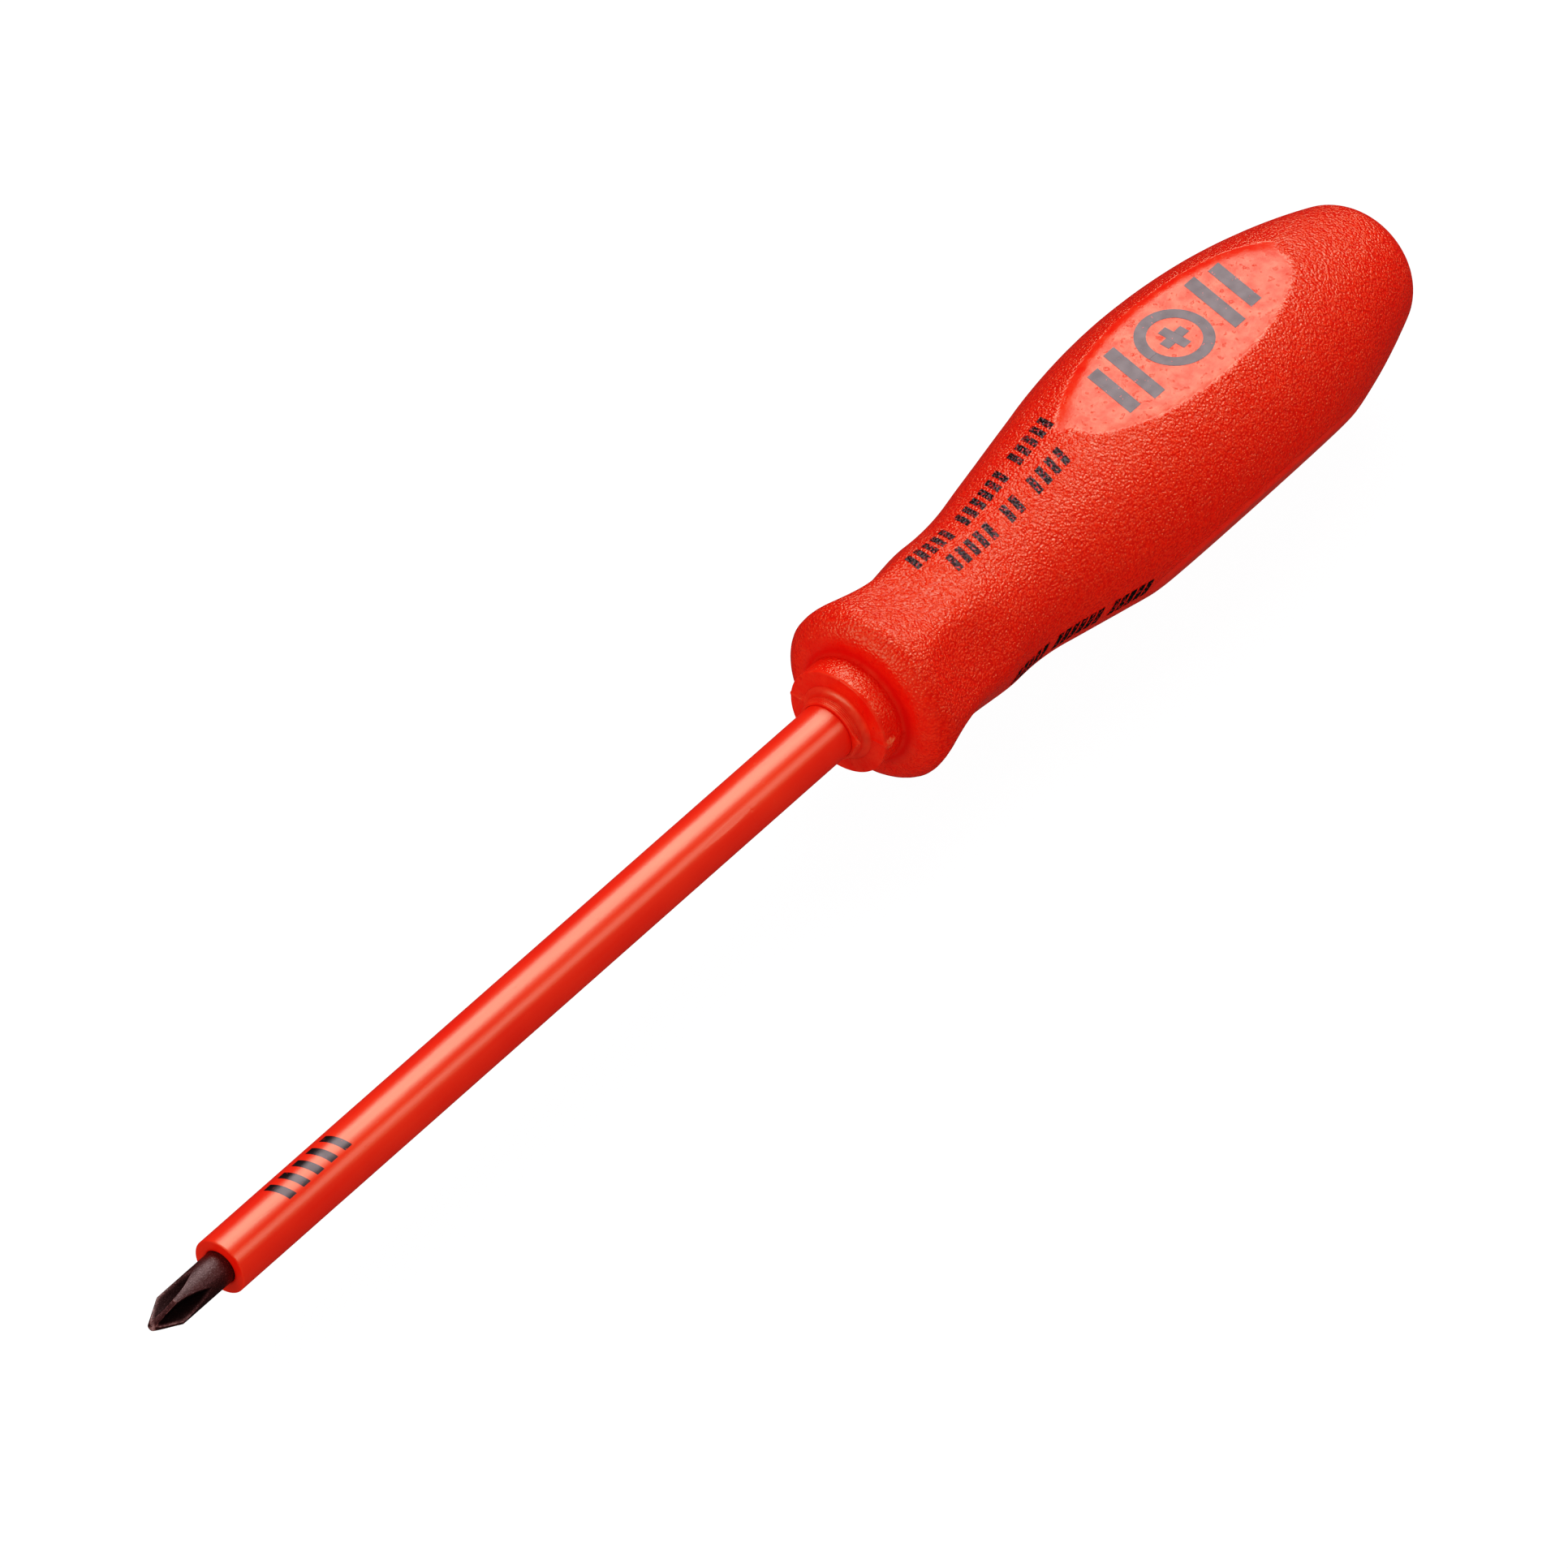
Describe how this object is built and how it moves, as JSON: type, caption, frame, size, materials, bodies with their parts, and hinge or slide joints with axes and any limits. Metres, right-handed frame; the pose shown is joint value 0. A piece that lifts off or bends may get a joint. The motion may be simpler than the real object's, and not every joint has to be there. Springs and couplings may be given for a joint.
{
  "type": "insulated screwdriver",
  "caption": "Small insulated crosshead screwdriver: sleeved steel blade, textured red handle with guard, finger dishes and flat oval grip panels.",
  "frame": {"origin": "on the blade's axis, in the plane of the collar's front face", "axes": "+X along the blade from the handle to the tip, +Z out of the top flat panel of the handle, +Y to the left when looking from the handle towards the tip"},
  "size_m": [0.1381, 0.0184, 0.0173],
  "materials": {
    "blade_steel": "black oxide, satin",
    "sleeve_plastic": "smooth, glossy extruded tube",
    "core_plastic": "smooth, satin",
    "grip_plastic": "fine moulded grain, satin; panels and collar face smooth",
    "print_black": "pad-printed ink, worn by the grain",
    "print_grey": "pad-printed ink"
  },
  "bodies": {
    "root": {"blade": "blade_steel", "blade_sleeve": "sleeve_plastic", "handle_core": "core_plastic", "handle_grip": "grip_plastic"}
  },
  "joints": []
}
